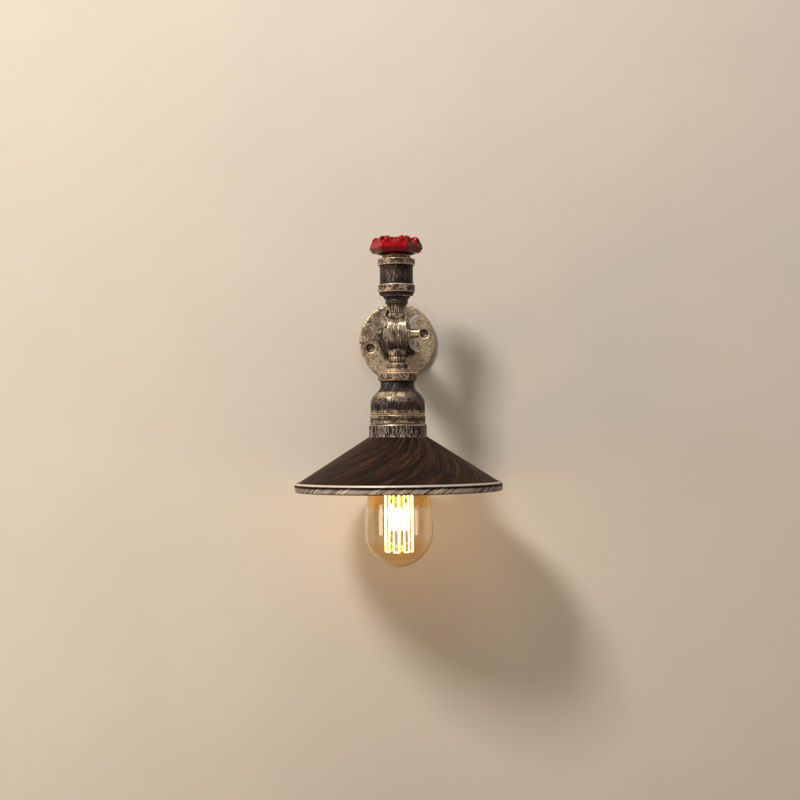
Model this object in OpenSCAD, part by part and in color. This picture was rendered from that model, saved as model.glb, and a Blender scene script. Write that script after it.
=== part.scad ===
// Wall light made of pipe fittings: flange, pipe arm, swivel knuckle, bell reducer, cone shade and handwheel.
// The wall is the plane y = 0, the room lies towards -y, and z points up.
// The lamp hangs on a vertical axis in front of the wall, and tilts about the knuckle at z = 0.

/* [Wall side] */
// Distance from the wall to the lamp axis
arm_reach = 118; // [112:1:150]
// Diameter of the wall flange
flange_d = 82; // [78:1:100]
// Thickness of the flange at its rim
flange_t = 5.5; // [4.5:0.5:8]
// Outside diameter of the flange's boss
boss_d = 36; // [34:0.5:42]
// Height of the boss above the wall
boss_h = 18.5; // [15:0.5:25]
// Pitch circle diameter of the screw holes
screw_pcd = 60; // [56:1:64]
// Number of screw holes
screw_count = 4; // [3:1:6]
// Diameter of the screw holes
screw_hole_d = 6.5; // [4:0.5:7]
// Diameter of the countersinks
screw_sink_d = 11.6; // [9:0.2:13]
// Angle of the first screw hole, counterclockwise from the right as seen from the room
screw_turn = 14.4; // [0:0.2:90]
// Outside diameter of the arm's pipe
pipe_d = 26.7; // [25:0.1:28]
// Bore of the arm's pipe
pipe_bore = 20.9; // [18:0.1:22]
// Distance from the wall to the pipe's end inside the boss
pipe_seat = 2; // [1:0.5:6]

/* [Knuckle] */
// Radius of the two ears
ear_r = 16.3; // [15:0.1:18]
// Thickness of the left ear, on the lamp's half
left_ear_t = 9.7; // [9:0.1:13]
// Thickness of the right ear, on the arm's half
right_ear_t = 9.3; // [8:0.2:11]
// Thickness of the friction washer between the ears
friction_t = 0.6; // [0.4:0.1:1.2]
// Diameter of the pivot bolt
bolt_d = 5; // [4:0.5:6]
// Width of the bolt's hexagon head across flats
bolt_head_af = 10; // [9:0.5:11]
// Height of the bolt's head
bolt_head_h = 3.7; // [3:0.1:5]
// Diameter of the stubs at their shoulder
shoulder_d = 17; // [16:0.2:18]
// Diameter of the upper stub's waist
waist_d = 15; // [13:0.2:16]
// Diameter of the ring at the end of each stub
ring_d = 22.8; // [21:0.2:24]
// Height of the ring
ring_h = 4.9; // [4:0.1:6]
// Length of each stub from the ears to its ring
stub_l = 13.4; // [12:0.2:18]
// Diameter of the threaded tails
tail_d = 9.7; // [8:0.1:11]
// Length of the threaded tails
tail_l = 9.5; // [8:0.5:11]
// Diameter of the wire passage
wire_bore = 6; // [4:0.5:7]

/* [Wing nut] */
// Length of the wing nut's barrel
wing_barrel_l = 12.2; // [11:0.2:14]
// Diameter of the barrel
wing_barrel_d = 7.7; // [7.2:0.1:8.5]
// Span of the wings from tip to tip
wing_span = 36.6; // [34:0.2:40]
// Thickness of a wing
wing_t = 2.6; // [2:0.1:4]

/* [Upper fittings] */
// Height of the upper bushing's head
upper_bush_h = 3.9; // [3:0.1:6]
// Diameter of the upper bushing's head
upper_bush_d = 28; // [26:0.2:30]
// Height of the upper coupling
coupling_h = 36.5; // [34:0.5:44]
// Diameter of the coupling between its beads
coupling_d = 33.8; // [32:0.2:36]
// Diameter of the coupling's beads
coupling_bead_d = 37.3; // [36.4:0.1:39]
// Height of the coupling's upper bead
coupling_top_bead = 6.4; // [5:0.2:8]
// Height of the coupling's lower bead
coupling_low_bead = 7.8; // [6:0.2:9]
// Bore of the couplings' threads
thread_bore = 24.2; // [22:0.2:25]
// Diameter of the bonnet plug's head
bonnet_d = 28; // [26:0.2:30]
// Height of the bonnet plug's head
bonnet_h = 3.9; // [3:0.1:6]

/* [Handwheel] */
// Diameter of the handwheel over its corners
wheel_d = 53.4; // [50:0.2:60]
// Height of the handwheel
wheel_h = 17.4; // [16:0.2:20]
// Number of lobes
wheel_lobes = 6; // [5:1:7]
// Angle by which the handwheel is turned at rest
wheel_turn = -5; // [-30:1:30]
// Diameter of the hub
wheel_hub_d = 15; // [13:0.5:17]
// Diameter of the spindle
spindle_d = 8; // [7:0.5:9]

/* [Lower fittings] */
// Height of the lower bushing's head
lower_bush_h = 4.5; // [3:0.1:6]
// Diameter of the lower bushing's head
lower_bush_d = 31.5; // [29:0.5:34]
// Height of the bell reducer
bell_h = 51.3; // [50:0.5:58]
// Diameter of the bell reducer's upper bead
bell_top_d = 38.7; // [36:0.2:42]
// Height of the upper bead
bell_top_h = 8.4; // [7:0.2:10]
// Diameter of the bell reducer's waist
bell_waist_d = 33.5; // [32:0.2:35]
// Diameter of the bell reducer's body
bell_body_d = 54.5; // [54:0.1:56]
// Diameter of the band at its lower end
bell_band_d = 55.2; // [55:0.1:57]
// Height of that band
bell_band_h = 8.9; // [7:0.1:11]
// Bore of its wide end
bell_bore = 46.6; // [46:0.1:48]

/* [Shade] */
// Outside diameter of the shade over its lip
shade_d = 207.8; // [190:1:218]
// Drop of the cone from the neck to the lip
cone_drop = 45.6; // [40:0.1:52]
// Diameter of the shade's neck
neck_d = 57.6; // [57:0.1:59]
// Height of the shade's neck
neck_h = 12.4; // [11:0.1:14]
// Thickness of the sheet
sheet_t = 1; // [0.8:0.1:1.4]
// Height of the rolled lip
lip_h = 8.9; // [8:0.1:11]
// Thickness of the rolled lip
lip_t = 4.6; // [3.6:0.2:6]

/* [Lampholder] */
// Diameter of the holder's threaded skirt
holder_d = 39.6; // [38.8:0.1:40.6]
// Diameter of the shoulder that carries the shade
holder_shoulder_d = 44; // [43:0.2:45]
// Length of the skirt below the shade's seat
skirt_l = 28.5; // [26:0.5:30]
// Outside diameter of the ring that clamps the shade
shade_ring_d = 52; // [48:0.5:53]
// Thickness of that ring
shade_ring_h = 6; // [4:0.5:8]

/* [Bulb] */
// Diameter of the glass
bulb_d = 68; // [60:0.5:70]
// Length of the bulb from its contact to its tip
bulb_l = 140; // [135:1:145]
// Diameter of the screw cap
cap_d = 26.2; // [25.8:0.1:26.4]
// Thickness of the glass
glass_t = 0.9; // [0.6:0.1:1.4]
// Diameter of the filament cage
cage_d = 27.6; // [24:0.2:30]
// Height of the filament cage
cage_h = 76; // [60:1:80]
// Number of upright strands in the filament, an even number
strand_count = 16; // [8:2:16]
// Diameter of a strand as its glow shows it
strand_d = 0.9; // [0.5:0.1:1]
// Angle by which the filament cage is turned
cage_turn = 11.25; // [0:0.25:45]

/* [Hidden] */
$fn = 96;

// Clearances
part_gap = 0.3;
thread_gap = 0.05;
slide_gap = 0.05;
eps = 0.01;

// Colours
bronze = [0.30, 0.22, 0.16];
pewter = [0.66, 0.62, 0.54];
red_enamel = [0.70, 0.02, 0.03];
steel = [0.62, 0.62, 0.60];
brass = [0.78, 0.60, 0.28];
ceramic = [0.92, 0.90, 0.84];
amber = [0.90, 0.62, 0.25, 0.45];
clear = [0.90, 0.92, 0.90, 0.40];
black_glass = [0.08, 0.07, 0.07];
glow = [1, 0.85, 0.50];

// Knuckle, measured from the pivot
saddle_r = ear_r + part_gap;
ring_start = saddle_r + stub_l - 0.6;
ring_end = ring_start + ring_h;
tail_end = ring_end + tail_l;
ear_face = friction_t / 2;
ear_edge = 0.8;
wire_pocket_r = 10;
wire_pocket_t = 4.5;
bolt_boss_r = bolt_d / 2 + 2.4;
bolt_end_x = ear_face + slide_gap + right_ear_t;
nut_washer_t = 0.8;
nut_washer_d = 12;
wing_x = bolt_end_x + nut_washer_t + slide_gap * 2;

// Arm, measured from the wall towards the room
bush_flange_t = 4;
pipe_front = arm_reach - ring_end - bush_flange_t;
bush_spigot_l = 12;

// Upper fittings, measured upwards from the pivot
coupling_z = ring_end + upper_bush_h;
coupling_top = coupling_z + coupling_h;
spigot_l = 11;
spigot_d = thread_bore - 2 * thread_gap;
bonnet_top = coupling_top + bonnet_h;
wheel_z = bonnet_top + part_gap;
wheel_r = wheel_d / 2;
wheel_corner = 0.15;
wheel_flat_r = wheel_r * cos(180 / wheel_lobes) + wheel_corner;
rim_z = 1.1;
wheel_brow = 5.8;
wheel_lean = 12;
skirt_lean = 30;
horn_r = wheel_r * 0.18;
horn_turn = 138 / wheel_lobes;
groove_r = horn_r * 0.36;
groove_fall = 22;
dimple_r = wheel_r * 0.19;
hub_top = wheel_h * 0.61;
square_w = spindle_d * 0.72;
wheel_stud_d = 5;
wheel_washer_t = 0.8;
wheel_nut_h = 3.4;
spindle_foot_d = 14;
spindle_foot_h = 3;

// Lower fittings, measured downwards from the pivot
bell_z = -ring_end - lower_bush_h;
bell_bottom = bell_z - bell_h;
seat_z = bell_bottom - part_gap;
neck_bottom = seat_z - neck_h;
lip_top = neck_bottom - cone_drop;
lip_bottom = lip_top - lip_h;
shade_r = shade_d / 2;

// Lampholder
skirt_top = seat_z + 10.5;
skirt_bottom = seat_z - skirt_l;
skirt_bore = holder_d - 5.6;
shoulder_h = 2.5;
spigot_t = 1.5;
dome_spigot_l = 3;
core_h = 9;
core_top = skirt_top - dome_spigot_l;
core_bottom = core_top - core_h;
dome_h = 16;
dome_hub_h = 6;
dome_hub_d = 16;
dome_wall = 2.6;
nipple_top = -tail_end;
nipple_bottom = skirt_top + dome_h;
nipple_bore = 7.2;
locknut_af = 14;
locknut_h = 4;
bush_bottom = bell_z - spigot_l;

// Bulb
cap_r = cap_d / 2;
shell_r = cap_r + 0.25;
shell_t = 0.4;
contact_drop = 1.4;
bulb_top = core_bottom - contact_drop;
bulb_tip = bulb_top - bulb_l;
cap_l = 27;
cap_end = bulb_top - cap_l;
neck_r = cap_r - shell_t - 0.1;
inner_neck_r = cap_r - 1.6;
bulb_r = bulb_d / 2;
bulb_wide_z = bulb_tip + 0.515 * bulb_d;
thread_pitch = 3.62;
thread_turns = 4;
stem_r = 5.7;
press_top = bulb_tip + 56.5;
press_h = 20;
press_w = 17;
press_t = 6;
button_z = bulb_tip + 16.5;
cage_bottom = bulb_tip + 15.8;
cage_top = cage_bottom + cage_h;
cage_r = cage_d / 2;
hook_d = 0.5;
hook_count = strand_count / 2;

// Points on a cubic curve between a and d, with b and c as its handles
function curve(a, b, c, d, n = 12) = [for (i = [0:n]) let (t = i / n)
    pow(1 - t, 3) * a + 3 * pow(1 - t, 2) * t * b + 3 * (1 - t) * t * t * c + t * t * t * d];

// Points on an arc round c
function arc(c, r, from, to, n = 8) = [for (i = [0:n]) let (a = from + (to - from) * i / n)
    c + r * [cos(a), sin(a)]];

// Outer points of a bead between two heights, with chamfered edges
function bead(r, low, high, edge = 0.8) =
    [[r - edge, low], [r, low + edge], [r, high - edge], [r - edge, high]];

module on_lamp_axis() {
    translate([0, -arm_reach, 0]) children();
}

// Turns what points up so that it points from the pivot to the wall
module towards_wall() {
    rotate([-90, 0, 0]) children();
}

// Turns what points up so that it points from the wall into the room
module into_room() {
    rotate([90, 0, 0]) children();
}

// Turns what points up so that it points to the right
module to_the_right() {
    rotate([0, 90, 0]) children();
}

module turned(points) {
    rotate_extrude() polygon(points);
}

module tube(r, bore_r, low, high) {
    difference() {
        translate([0, 0, low]) cylinder(r = r, h = high - low);
        translate([0, 0, low - 1]) cylinder(r = bore_r, h = high - low + 2);
    }
}

module hexagon_nut(af, bore_r, low, high) {
    difference() {
        translate([0, 0, low]) cylinder(r = af / sqrt(3), h = high - low, $fn = 6);
        translate([0, 0, low - 1]) cylinder(r = bore_r, h = high - low + 2);
    }
}

module wall_flange() {
    sink_h = (screw_sink_d - screw_hole_d) / 2;
    color(bronze) into_room() difference() {
        turned(concat(
            [[pipe_d / 2 + thread_gap, 0], [flange_d / 2 - 0.5, 0], [flange_d / 2, 0.5]],
            [[flange_d / 2, flange_t - 1.4], [flange_d / 2 - 0.5, flange_t - 0.4]],
            [[flange_d / 2 - 1.6, flange_t]],
            curve([boss_d / 2 + 6, flange_t + 0.6], [boss_d / 2 + 2, flange_t + 0.9],
                [boss_d / 2 + 0.2, flange_t + 2.4], [boss_d / 2, flange_t + 5.5], 6),
            [[boss_d / 2, boss_h - 1.2], [boss_d / 2 - 1.2, boss_h], [pipe_d / 2 + thread_gap, boss_h]]));
        for (i = [0:screw_count - 1])
            rotate([0, 0, screw_turn + i * 360 / screw_count]) translate([screw_pcd / 2, 0, 0]) {
                translate([0, 0, -1]) cylinder(d = screw_hole_d, h = boss_h);
                translate([0, 0, flange_t + 0.8 - sink_h])
                    cylinder(d1 = screw_hole_d, d2 = screw_sink_d + 2, h = sink_h + 1);
            }
    }
}

module arm_nipple() {
    color(bronze) into_room() turned([
        [pipe_bore / 2, pipe_seat], [pipe_d / 2 - 1, pipe_seat], [pipe_d / 2, pipe_seat + 1],
        [pipe_d / 2, pipe_front - 0.6], [pipe_d / 2 - 0.6, pipe_front], [pipe_bore / 2, pipe_front]]);
}

module arm_bushing() {
    bush_r = pipe_bore / 2 - thread_gap;
    bore_r = tail_d / 2 + thread_gap;
    color(bronze) into_room() turned([
        [bore_r, pipe_front - bush_spigot_l], [bush_r - 0.8, pipe_front - bush_spigot_l],
        [bush_r, pipe_front - bush_spigot_l + 0.8], [bush_r, pipe_front], [pipe_d / 2 - 0.4, pipe_front],
        [pipe_d / 2, pipe_front + 0.4], [pipe_d / 2, pipe_front + bush_flange_t - 1.4],
        [pipe_d / 2 - 1.4, pipe_front + bush_flange_t], [bore_r, pipe_front + bush_flange_t]]);
}

// Half profile of a stub with two soft bumps, from inside the ear to the end of its tail
function bumped_stub() =
    let (r = shoulder_d / 2, bump = (ring_start - saddle_r - 0.8) / 2, mid = saddle_r + bump)
    concat(
        [[0, saddle_r - 6], [r - 0.6, saddle_r - 6], [r - 0.6, saddle_r - 1.2], [r, saddle_r + bump * 0.3]],
        [[r, saddle_r + bump * 0.65], [r - 0.7, mid - 0.3], [r - 0.7, mid + 0.3]],
        [[r + 0.2, mid + bump * 0.35], [r + 0.2, mid + bump * 0.7], [r - 0.4, ring_start - 0.8]],
        [[ring_d / 2 - 1.6, ring_start]], bead(ring_d / 2, ring_start + eps, ring_end, 1),
        [[tail_d / 2, ring_end], [tail_d / 2, tail_end - 0.8], [tail_d / 2 - 0.8, tail_end], [0, tail_end]]);

// Half profile of the upper stub, with a shoulder, a waist and a cone up to its ring
function waisted_stub() =
    let (r = shoulder_d / 2, w = waist_d / 2, l = ring_start - saddle_r)
    concat(
        [[0, saddle_r - 6], [r - 0.5, saddle_r - 6], [r - 0.5, saddle_r - 1.2], [r, saddle_r + l * 0.06]],
        [[r, saddle_r + l * 0.18], [r - 0.4, saddle_r + l * 0.25], [w, saddle_r + l * 0.30]],
        curve([w, saddle_r + l * 0.55], [w, saddle_r + l * 0.75], [w + 1.4, saddle_r + l * 0.85],
            [ring_d / 2 - 1, ring_start], 5),
        bead(ring_d / 2, ring_start + eps, ring_end, 0.9),
        [[tail_d / 2, ring_end], [tail_d / 2, tail_end - 0.8], [tail_d / 2 - 0.8, tail_end], [0, tail_end]]);

// An ear with chamfered rims, lying between two places on the pivot axis
module ear(low, high) {
    to_the_right() turned([[0, low], [ear_r - ear_edge, low], [ear_r, low + ear_edge],
        [ear_r, high - ear_edge], [ear_r - ear_edge, high], [0, high]]);
}

// Ring-shaped pocket round the bolt that lets the wires through the knuckle
module wire_pocket(low, high) {
    to_the_right() tube(wire_pocket_r, bolt_boss_r, low, high);
}

module knuckle_arm() {
    right_face = ear_face + slide_gap;
    color(bronze) on_lamp_axis() difference() {
        union() {
            ear(right_face, bolt_end_x);
            difference() {
                towards_wall() turned(bumped_stub());
                to_the_right() translate([0, 0, -shoulder_d])
                    cylinder(r = saddle_r, h = shoulder_d + right_face);
            }
        }
        to_the_right() cylinder(r = bolt_d / 2 + slide_gap, h = bolt_end_x + 1);
        wire_pocket(right_face - 1, right_face + wire_pocket_t);
        towards_wall() translate([right_face + wire_bore / 2, 0, (bolt_boss_r + wire_pocket_r) / 2])
            cylinder(d = wire_bore - 1, h = ring_start - 8);
        towards_wall() translate([0, 0, ring_start - 3]) cylinder(d = wire_bore, h = tail_end);
    }
}

module knuckle_head() {
    color(bronze) on_lamp_axis() difference() {
        union() {
            ear(-ear_face - left_ear_t, -ear_face);
            difference() {
                union() {
                    turned(waisted_stub());
                    rotate([180, 0, 0]) turned(bumped_stub());
                }
                to_the_right() translate([0, 0, -ear_face]) cylinder(r = saddle_r, h = shoulder_d);
            }
        }
        to_the_right() translate([0, 0, -ear_face - left_ear_t - 1])
            cylinder(r = bolt_d / 2 + thread_gap, h = left_ear_t + 2);
        wire_pocket(-ear_face - wire_pocket_t, -ear_face + 1);
        translate([-ear_face - wire_bore / 2, 0, -ring_start + 2])
            cylinder(d = wire_bore - 1, h = ring_start - (bolt_boss_r + wire_pocket_r) / 2);
        translate([0, 0, -tail_end - 1]) cylinder(d = wire_bore, h = tail_end - ring_start + 4);
    }
}

module friction_washer() {
    color(steel) on_lamp_axis() to_the_right()
        tube(ear_r - ear_edge - 0.2, wire_pocket_r + 0.6, -ear_face, ear_face);
}

module pivot_bolt() {
    head_x = -ear_face - left_ear_t;
    shank_end = wing_x + wing_barrel_l - 0.8;
    color(steel) on_lamp_axis() to_the_right() {
        translate([0, 0, head_x - bolt_head_h]) intersection() {
            cylinder(r = bolt_head_af / sqrt(3), h = bolt_head_h, $fn = 6);
            turned([[0, 0], [bolt_head_af / 2 - 0.4, 0], [bolt_head_af / sqrt(3) + 0.1, 1.1],
                [bolt_head_af / sqrt(3) + 0.1, bolt_head_h], [0, bolt_head_h]]);
        }
        turned([[0, head_x - eps], [bolt_d / 2, head_x - eps], [bolt_d / 2, shank_end - 0.6],
            [bolt_d / 2 - 0.6, shank_end], [0, shank_end]]);
    }
}

module nut_washer() {
    color(steel) on_lamp_axis() to_the_right()
        tube(nut_washer_d / 2, bolt_d / 2 + 0.2, bolt_end_x, bolt_end_x + nut_washer_t);
}

// Crescent wing in the plane of the pivot axis, flaring away from the knuckle
module wing() {
    tip = wing_span / 2;
    hollow_r = tip * 0.51;
    intersection() {
        difference() {
            translate([tip * 0.66, tip * 0.38]) circle(r = tip * 0.62);
            translate([wing_barrel_l * 0.7 + hollow_r, tip * 0.6]) circle(r = hollow_r);
        }
        translate([0, wing_barrel_d / 2 - 1.2]) square([wing_barrel_l - 0.6, tip]);
    }
}

module wing_nut() {
    color(pewter) on_lamp_axis() translate([wing_x, 0, 0]) difference() {
        union() {
            to_the_right() turned([[0, 0], [wing_barrel_d / 2 + 0.9, 0], [wing_barrel_d / 2 + 0.9, 1.2],
                [wing_barrel_d / 2, 2.4], [wing_barrel_d / 2, wing_barrel_l - 0.8],
                [wing_barrel_d / 2 - 0.8, wing_barrel_l], [0, wing_barrel_l]]);
            for (side = [0, 1]) mirror([0, 0, side]) translate([0, wing_t / 2, 0]) rotate([90, 0, 0])
                linear_extrude(wing_t) wing();
        }
        to_the_right() translate([0, 0, -1]) cylinder(r = bolt_d / 2 + slide_gap, h = wing_barrel_l + 2);
    }
}

module upper_bushing() {
    bore_r = tail_d / 2 + thread_gap;
    color(bronze) on_lamp_axis() turned([
        [bore_r, ring_end], [upper_bush_d / 2 - 2.2, ring_end], [upper_bush_d / 2, coupling_z - 1],
        [upper_bush_d / 2, coupling_z], [spigot_d / 2, coupling_z],
        [spigot_d / 2, coupling_z + spigot_l - 0.8], [spigot_d / 2 - 0.8, coupling_z + spigot_l],
        [bore_r, coupling_z + spigot_l]]);
}

module upper_coupling() {
    bead_r = coupling_bead_d / 2;
    body_r = coupling_d / 2;
    foot_h = 2.9;
    low_bead_top = coupling_z + foot_h + coupling_low_bead;
    top_bead_z = coupling_top - coupling_top_bead;
    body_mid = (low_bead_top + top_bead_z) / 2;
    color(bronze) on_lamp_axis() turned(concat(
        [[thread_bore / 2, coupling_z], [bead_r - 1.9, coupling_z], [bead_r - 1.2, coupling_z + foot_h]],
        bead(bead_r - 0.3, coupling_z + foot_h + eps, low_bead_top, 0.9),
        curve([body_r + 0.2, low_bead_top + 0.6], [body_r, low_bead_top + 2],
            [body_r - 0.3, low_bead_top + 6], [body_r - 0.3, body_mid], 4),
        curve([body_r - 0.3, body_mid + 1], [body_r - 0.3, top_bead_z - 5],
            [body_r, top_bead_z - 2], [body_r + 0.3, top_bead_z - 0.5], 4),
        bead(bead_r, top_bead_z, coupling_top, 0.9), [[thread_bore / 2, coupling_top]]));
}

module bonnet_plug() {
    bore_r = spindle_d / 2 + slide_gap;
    color(bronze) on_lamp_axis() turned([
        [bore_r, coupling_top - spigot_l], [spigot_d / 2 - 0.8, coupling_top - spigot_l],
        [spigot_d / 2, coupling_top - spigot_l + 0.8], [spigot_d / 2, coupling_top],
        [bonnet_d / 2, coupling_top], [bonnet_d / 2, bonnet_top - 0.6],
        [bonnet_d / 2 - 0.6, bonnet_top], [bore_r, bonnet_top]]);
}

// Handwheel before its lobes are cut, a turned umbrella with a hollow underside and a dished top
module wheel_blank() {
    r = wheel_r;
    h = wheel_h;
    turned(concat(
        [[0, 0], [wheel_hub_d / 2, 0], [wheel_hub_d / 2, h * 0.45], [r * 0.62, h * 0.40]],
        [[r * 0.70, rim_z + 0.5]],
        curve([r * 0.77, rim_z], [r * 0.93, rim_z + 0.1], [r * 0.985, rim_z + 1.6], [r, rim_z + 4.4], 5),
        curve([r, h * 0.36], [r * 0.99, h * 0.54], [r * 0.965, h * 0.70], [r * 0.90, h * 0.82], 5),
        curve([r * 0.88, h * 0.85], [r * 0.84, h * 0.89], [r * 0.72, h * 0.93], [r * 0.54, h * 0.92], 4),
        [[r * 0.46, h * 0.85], [r * 0.37, hub_top], [0, hub_top]]));
}

// Flat of one lobe, with a face that leans back above the brow and a skirt that leans in below it
module wheel_flat_cut() {
    for (lean = [-wheel_lean, skirt_lean])
        translate([wheel_flat_r, -wheel_d, wheel_brow]) rotate([0, lean, 0]) translate([0, 0, -wheel_d])
            cube([wheel_d, wheel_d * 2, wheel_d * 2]);
}

// Places a thing at each lobe of the handwheel, first the one that faces the room
module round_wheel() {
    for (i = [0:wheel_lobes - 1]) rotate([0, 0, wheel_turn - 90 + i * 360 / wheel_lobes]) children();
}

// Two rounded horns, one on each side of a lobe's dimple
module horns() {
    for (side = [-1, 1]) rotate([0, 0, side * horn_turn])
        translate([wheel_r * 0.725, 0, wheel_h - horn_r]) sphere(r = horn_r);
}

// Groove that parts two lobes at the corner between them and falls outwards
module lobe_groove() {
    rotate([0, 0, 180 / wheel_lobes]) translate([wheel_r * 0.6, 0, wheel_h * 0.96])
        rotate([0, groove_fall - 90, 0]) translate([0, 0, -wheel_d]) cylinder(r = groove_r, h = wheel_d);
}

module handwheel() {
    color(red_enamel) on_lamp_axis() translate([0, 0, wheel_z]) difference() {
        union() {
            difference() {
                wheel_blank();
                round_wheel() wheel_flat_cut();
            }
            round_wheel() horns();
        }
        round_wheel() {
            translate([wheel_r * 0.80, 0, wheel_h * 0.9]) sphere(r = dimple_r);
            lobe_groove();
        }
        translate([-square_w / 2 - thread_gap, -square_w / 2 - thread_gap, -1])
            cube([square_w + 2 * thread_gap, square_w + 2 * thread_gap, wheel_h]);
    }
}

module wheel_spindle() {
    stud_end = wheel_z + hub_top + wheel_washer_t + wheel_nut_h;
    foot_z = coupling_top - spigot_l - part_gap - spindle_foot_h;
    color(steel) on_lamp_axis() {
        translate([0, 0, foot_z]) cylinder(d = spindle_foot_d, h = spindle_foot_h);
        translate([0, 0, foot_z]) cylinder(d = spindle_d, h = wheel_z - foot_z);
        translate([-square_w / 2, -square_w / 2, wheel_z - eps]) cube([square_w, square_w, hub_top + eps]);
        translate([0, 0, wheel_z]) cylinder(d = wheel_stud_d, h = stud_end - wheel_z);
    }
}

module wheel_washer() {
    low = wheel_z + hub_top;
    color(steel) on_lamp_axis()
        tube(wheel_hub_d / 2 - 1.2, wheel_stud_d / 2 + 0.1, low, low + wheel_washer_t);
}

module wheel_nut() {
    low = wheel_z + hub_top + wheel_washer_t;
    color(steel) on_lamp_axis() hexagon_nut(9, wheel_stud_d / 2 + thread_gap, low, low + wheel_nut_h);
}

module lower_bushing() {
    bore_r = tail_d / 2 + thread_gap;
    color(bronze) on_lamp_axis() turned([
        [bore_r, -ring_end], [ring_d / 2 + 1, -ring_end], [lower_bush_d / 2, bell_z + 1.6],
        [lower_bush_d / 2, bell_z], [spigot_d / 2, bell_z], [spigot_d / 2, bush_bottom + 0.8],
        [spigot_d / 2 - 0.8, bush_bottom], [bore_r, bush_bottom]]);
}

module bell_reducer() {
    top_r = bell_top_d / 2;
    waist_r = bell_waist_d / 2;
    body_r = bell_body_d / 2;
    band_r = bell_band_d / 2;
    band_top = bell_bottom + bell_band_h;
    waist_z = bell_z - bell_top_h - 5;
    flare_z = waist_z - 3.5;
    shoulder_z = waist_z - 14.5;
    groove_w = 0.7;
    groove_t = 0.8;
    color(bronze) on_lamp_axis() turned(concat(
        [[thread_bore / 2, bell_z], [top_r - 1, bell_z], [top_r, bell_z - 1]],
        [[top_r, bell_z - bell_top_h + 1]],
        curve([top_r - 1, bell_z - bell_top_h], [waist_r + 0.9, bell_z - bell_top_h - 0.3],
            [waist_r, waist_z + 2.5], [waist_r, waist_z], 5),
        curve([waist_r, waist_z - 1], [waist_r + 1.4, flare_z - 3.5], [body_r, flare_z - 4.5],
            [body_r, shoulder_z], 9),
        [[body_r, band_top + groove_w], [body_r - groove_t, band_top + groove_w]],
        [[body_r - groove_t, band_top], [band_r - 0.7, band_top], [band_r, band_top - 0.7]],
        [[band_r, bell_bottom + 0.7], [band_r - 0.7, bell_bottom], [bell_bore / 2, bell_bottom]],
        [[bell_bore / 2, shoulder_z - 1], [thread_bore / 2, flare_z - 1]]));
}

module lamp_nipple() {
    color(steel) on_lamp_axis() tube(tail_d / 2, nipple_bore / 2, nipple_bottom, nipple_top);
}

module nipple_locknut() {
    color(steel) on_lamp_axis()
        hexagon_nut(locknut_af, tail_d / 2 + thread_gap, bush_bottom - locknut_h, bush_bottom);
}

module holder_dome() {
    r = holder_d / 2;
    hub_r = dome_hub_d / 2;
    spigot_r = skirt_bore / 2 - thread_gap;
    top = skirt_top + dome_h;
    bore_r = tail_d / 2 + thread_gap;
    color(ceramic) on_lamp_axis() turned(concat(
        [[spigot_r, core_top], [spigot_r, skirt_top], [r, skirt_top], [r, skirt_top + 3]],
        curve([r - 0.3, skirt_top + 5], [r - 1.5, skirt_top + 9], [hub_r + 3, top - dome_hub_h - 1],
            [hub_r, top - dome_hub_h], 6),
        [[hub_r, top + dome_hub_h - 6], [hub_r - 0.8, top + dome_hub_h - 5], [bore_r, top + dome_hub_h - 5]],
        [[bore_r, top - dome_hub_h], [bore_r, top - dome_hub_h - dome_wall]],
        curve([hub_r - 1, top - dome_hub_h - dome_wall], [hub_r + 3, top - dome_hub_h - dome_wall - 1],
            [spigot_r - spigot_t, skirt_top + 6], [spigot_r - spigot_t, skirt_top + 2], 5),
        [[spigot_r - spigot_t, core_top]]));
}

module holder_core() {
    r = skirt_bore / 2 - 0.1;
    color(ceramic) on_lamp_axis() difference() {
        translate([0, 0, core_bottom]) cylinder(r = r, h = core_h);
        for (side = [-1, 1]) translate([side * r * 0.55, 0, core_top - 5]) cylinder(d = 3.1, h = 6);
    }
}

module terminal_screws() {
    r = skirt_bore / 2 - 0.1;
    color(brass) on_lamp_axis() for (side = [-1, 1]) translate([side * r * 0.55, 0, core_top]) {
        translate([0, 0, -4.8]) cylinder(d = 3, h = 5);
        difference() {
            cylinder(d = 5.6, h = 2);
            translate([-3, -0.4, 1.2]) cube([6, 0.8, 1]);
        }
    }
}

module screw_shell() {
    flange_r = skirt_bore / 2 - 1.6;
    color(brass) on_lamp_axis() turned([
        [shell_r, skirt_bottom + 2], [shell_r + shell_t, skirt_bottom + 2],
        [shell_r + shell_t, core_bottom - 0.6], [flange_r, core_bottom - 0.6],
        [flange_r, core_bottom], [shell_r - 1, core_bottom],
        [shell_r - 1, core_bottom - 0.6], [shell_r, core_bottom - 0.6]]);
}

module centre_contact() {
    leaf_t = 0.5;
    leaf_w = 7;
    color(brass) on_lamp_axis() translate([0, leaf_w / 2, 0]) rotate([90, 0, 0]) linear_extrude(leaf_w)
        polygon([[-8, core_bottom], [8, core_bottom], [8, core_bottom - leaf_t], [4, core_bottom - leaf_t],
            [1.6, bulb_top], [-1.6, bulb_top], [-4, core_bottom - leaf_t], [-8, core_bottom - leaf_t]]);
}

module holder_skirt() {
    r = holder_d / 2;
    bore_r = skirt_bore / 2;
    ledge = 1.4;
    color(ceramic) on_lamp_axis() turned([
        [bore_r, skirt_top], [r, skirt_top], [r, seat_z + shoulder_h + 2],
        [holder_shoulder_d / 2, seat_z + shoulder_h], [holder_shoulder_d / 2, seat_z], [r, seat_z],
        [r, skirt_bottom + 1], [r - 1, skirt_bottom], [bore_r - ledge, skirt_bottom],
        [bore_r - ledge, core_bottom], [bore_r, core_bottom]]);
}

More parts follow.
